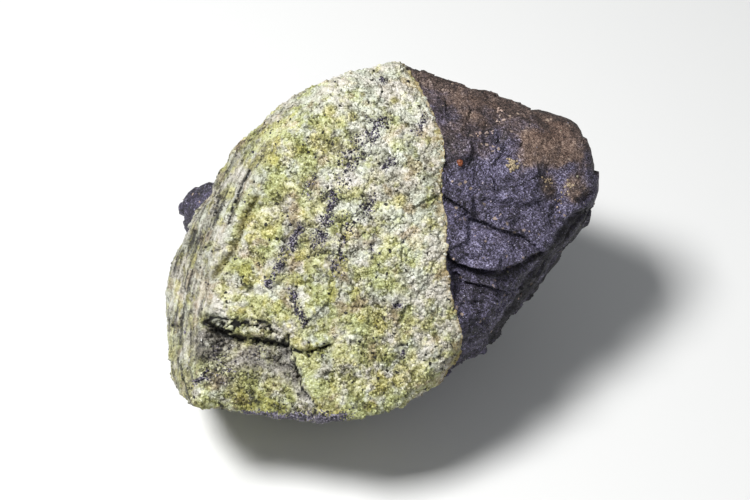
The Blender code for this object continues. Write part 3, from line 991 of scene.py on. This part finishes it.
# The basalt's cracks, the shadows under its layers' edges, and the crevice and splits behind the right edge
# are painted dark as shade.
crack = np.zeros(len(crust))
for line, half_width, _ in CRACKS:
    crack = np.maximum(crack, 0.8 * near(off_line(crust, line), half_width))
for line, drop, _, _ in LAYERS:
    below = under_layer(crust, line)
    shadow = near(below - 0.9, 0.7) * rise(crust[:, 0], 31, 34) * rise(65 - crust[:, 0], 0, 4)
    crack = np.maximum(crack, min(1, 0.35 * drop) * shadow)
far = beyond(crust)
shadows = ((0.9, 1.0), (2.8, 0.6), (5.4, 0.6))  # the crevice, then the splits, painted a little wider
splits = sum(near(far - place, half_width) for place, half_width in shadows)
# The layer behind the right edge is also painted darker all over, as shade.
splits = np.maximum(np.clip(1.3 * splits, 0, 1), 0.4 * rise(far, 0, 0.8)) * rise(crust[:, 2], *BACK_REACH)
paint(basalt, "crack", np.maximum(crack * rise(crust[:, 2], *IN_SIGHT), splits))
lit = belongs(crust, ("right_face",)) + 0.4 * belongs(crust, ("brown_slope",))
paint(basalt, "lit", lit * (1 - rise(-crust[:, 1], 2, 9)))

LAVA_GRAIN = 0.0009
LAVA_FINE = 0.00045
LAVA_DOT = 0.00028
TAN = ((0.0, (0.015, 0.0085, 0.0065)), (0.45, (0.15, 0.088, 0.065)), (1.0, (0.4, 0.28, 0.21)))
material, wire, shader = new_finish("basalt", roughness=0.6)
grains, fine, dots = (speckle(wire, size) for size in (LAVA_GRAIN, LAVA_FINE, LAVA_DOT))
tone = random_of(wire, grains, "Red") * 0.16 + random_of(wire, fine, "Red") * 0.3
tone = tone + random_of(wire, dots, "Red") * 0.63 + attribute(wire, "lit") * 0.18 - 0.18
tone = tone + (clouds(wire, 0.003)["Fac"] - 0.5) * 0.5 + (clouds(wire, 0.009)["Fac"] - 0.5) * 0.9
dark = tone.ramp(
    (0.0, (0.004, 0.0035, 0.005)),
    (0.25, (0.018, 0.015, 0.022)),
    (0.5, (0.06, 0.051, 0.086)),
    (0.75, (0.143, 0.127, 0.213)),
    (1.0, (0.355, 0.33, 0.49)),
)
rust = tone.ramp(
    (0.0, (0.007, 0.005, 0.0045)),
    (0.25, (0.024, 0.016, 0.0135)),
    (0.5, (0.068, 0.045, 0.037)),
    (0.75, (0.14, 0.095, 0.079)),
    (1.0, (0.34, 0.26, 0.22)),
)
mottle = (clouds(wire, 0.007)["Fac"] - 0.5) * 1.3 + (clouds(wire, 0.002)["Fac"] - 0.5) * 0.9
patina = (attribute(wire, "brown") + mottle * 0.8).between(0.0, 1.0)
colour = patina.blend(dark, rust)
tanned = (attribute(wire, "tan") + mottle).between(0.35, 1.1) * 0.6
colour = tanned.blend(colour, (tone + 0.08).ramp(*TAN))
glint = (random_of(wire, dots, "Green") > 0.986) * (1 - patina)
colour = glint.blend(colour, (0.4, 0.38, 0.5))
fleck = (random_of(wire, grains, "Green") > 0.955) * clouds(wire, 0.005)["Fac"].between(0.52, 0.62)
colour = (fleck * 0.8).blend(colour, (0.42, 0.32, 0.25))
# Painted shade: the cracks and the shadow lines go near-black.
colour = (attribute(wire, "crack") * 0.92).blend(colour, (0.005, 0.004, 0.005))
wire.tree.links.new(colour.socket, shader.inputs["Base Color"])
gloss = random_of(wire, fine, "Blue") * 0.4 + 0.42
wire.tree.links.new(gloss.socket, shader.inputs["Roughness"])
relief = facet_height(wire, grains, LAVA_GRAIN) * 0.6 + facet_height(wire, fine, LAVA_FINE) * 0.5
relief = relief + facet_height(wire, dots, LAVA_DOT) * 0.4
bump = wire.node("Bump", {}, {"Height": relief, "Distance": 0.0004, "Strength": 0.8})
wire.tree.links.new(bump.socket, shader.inputs["Normal"])
basalt.data.materials.append(material)
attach(basalt, "root")
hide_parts("basalt_crust")

# The crystals in the basalt: bits of the rocks that the lava tore off on its way. An orange grain and a
# cluster of pale yellow-green ones sit in its right face, and pale flecks are strewn all over it.
CRYSTALS = (
    ((38.9, 26.1), 0.95, 3, 0.7, (0.36, 0.1, 0.035)),
    ((53.6, 25.3), 0.45, 46, 1.3, (0.5, 0.4, 0.25)),
    ((50, 42.3), 0.4, 7, 1.0, (0.55, 0.4, 0.33)),
    ((50.6, 39), 0.4, 9, 1.2, (0.55, 0.42, 0.35)),
    ((47, 34.8), 0.36, 9, 1.2, (0.5, 0.38, 0.33)),
    ((44, 34.6), 0.3, 5, 1.0, (0.5, 0.36, 0.3)),
    ((70.6, 19.5), 0.36, 16, 1.5, (0.5, 0.4, 0.26)),
    ((64.5, 20), 0.32, 14, 2.2, (0.42, 0.32, 0.2)),
    ((67.5, 15), 0.32, 10, 1.8, (0.45, 0.34, 0.26)),
    ((58, -12), 0.32, 5, 1.2, (0.5, 0.36, 0.3)),
    ((46, 15), 0.26, 6, 4.0, (0.42, 0.36, 0.42)),
    ((47, 2), 0.26, 8, 5.0, (0.42, 0.36, 0.42)),
)
STREWN = 260
STREWN_TINTS = ((0.36, 0.27, 0.22), (0.26, 0.24, 0.17), (0.28, 0.25, 0.31))
rng = np.random.default_rng(SEED + 1)
face = crust[crust[:, 2] > 0]
middles, sizes, tints = [], [], []
for middle, size, count, spread, tint in CRYSTALS:
    places = np.array(middle) + spread * rng.normal(size=(count, 2)) * 0.6
    away = np.linalg.norm(face[:, None, :2] - places[None], axis=2)
    middles.append(np.column_stack([places, face[away.argmin(axis=0), 2]]))
    sizes.append(size * rng.uniform(0.7, 1.3, (count, 3)))
    tints.append(np.tile(tint, (count, 1)))
strewn, _ = scatter(crust, squares, np.ones(len(crust)), STREWN, rng)
middles.append(strewn)
sizes.append(rng.lognormal(-1.45, 0.4, STREWN)[:, None] * rng.uniform(0.7, 1.3, (STREWN, 3)))
tints.append(np.array(STREWN_TINTS)[rng.integers(0, 3, STREWN)])
middles, sizes, tints = np.concatenate(middles), np.concatenate(sizes), np.concatenate(tints)
crystals = grain_mesh("basalt_crystals", ICOSAHEDRON, ball, middles, sizes, rng, 0.15)
owner = np.repeat(np.arange(len(middles)), len(ICOSAHEDRON))
tints = tints * rng.uniform(0.6, 1.25, (len(tints), 1))
for channel, values in zip(("red", "green", "blue"), tints.T):
    paint(crystals, channel, values[owner])
material, wire, shader = new_finish("crystals in basalt", roughness=0.35)
parts = {"Red": attribute(wire, "red"), "Green": attribute(wire, "green"), "Blue": attribute(wire, "blue")}
colour = wire.node("CombineColor", {}, parts)
dots = speckle(wire, 0.0004)
colour = (random_of(wire, dots, "Red") * 0.6).blend(colour, (0.03, 0.02, 0.015))
wire.tree.links.new(colour.socket, shader.inputs["Base Color"])
crystals.data.materials.append(material)
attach(crystals, "root")

# The studio: a plain pale floor, a large soft lamp over the left shoulder of the camera, a weaker one
# from the right, and a pale sky. The camera looks straight onto the broken face, as the photograph does.
FLOOR_EDGE = 3.0
floor_mesh = bpy.data.meshes.new("floor")
floor_corners = [(x * FLOOR_EDGE, y * FLOOR_EDGE, 0) for x, y in ((-1, -1), (1, -1), (1, 1), (-1, 1))]
floor_mesh.from_pydata(floor_corners, [], [(0, 1, 2, 3)])
floor = bpy.data.objects.new("floor", floor_mesh)
bpy.context.collection.objects.link(floor)
material, wire, shader = new_finish("pale floor", roughness=0.8)
shader.inputs["Base Color"].default_value = (0.7, 0.7, 0.69, 1)
floor.data.materials.append(material)


def lamp(name, place, size, power):
    """A square soft lamp at a place on the face's axes, turned to the stone."""
    light = bpy.data.lights.new(name, "AREA")
    light.size, light.energy = size, power
    holder = bpy.data.objects.new(name, light)
    holder.location = to_world(np.array([place]))[0]
    aim = Vector((0, 0, HEART[2] * MM)) - holder.location
    holder.rotation_euler = aim.to_track_quat("-Z", "Y").to_euler()
    bpy.context.collection.objects.link(holder)


lamp("key", (-330, 420, 590), 0.22, 9.8)
lamp("fill", (520, 60, 480), 0.6, 0.7)
world = bpy.data.worlds.new("sky")
bpy.context.scene.world = world
world.use_nodes = True
world.node_tree.nodes["Background"].inputs["Color"].default_value = (0.9, 0.95, 1, 1)
world.node_tree.nodes["Background"].inputs["Strength"].default_value = 0.2

CAMERA_DISTANCE = 500
AIM = (14, 1, 2)
lens = bpy.data.cameras.new("camera")
lens.lens, lens.sensor_width = 80, 36
camera = bpy.data.objects.new("camera", lens)
eye, target = to_world(np.array([(AIM[0], AIM[1], AIM[2] + CAMERA_DISTANCE), AIM], float))
camera.location = eye
camera.rotation_euler = (Vector(target) - Vector(eye)).to_track_quat("-Z", "Y").to_euler()
bpy.context.collection.objects.link(camera)
bpy.context.scene.camera = camera
bpy.context.scene.view_settings.view_transform = "Standard"
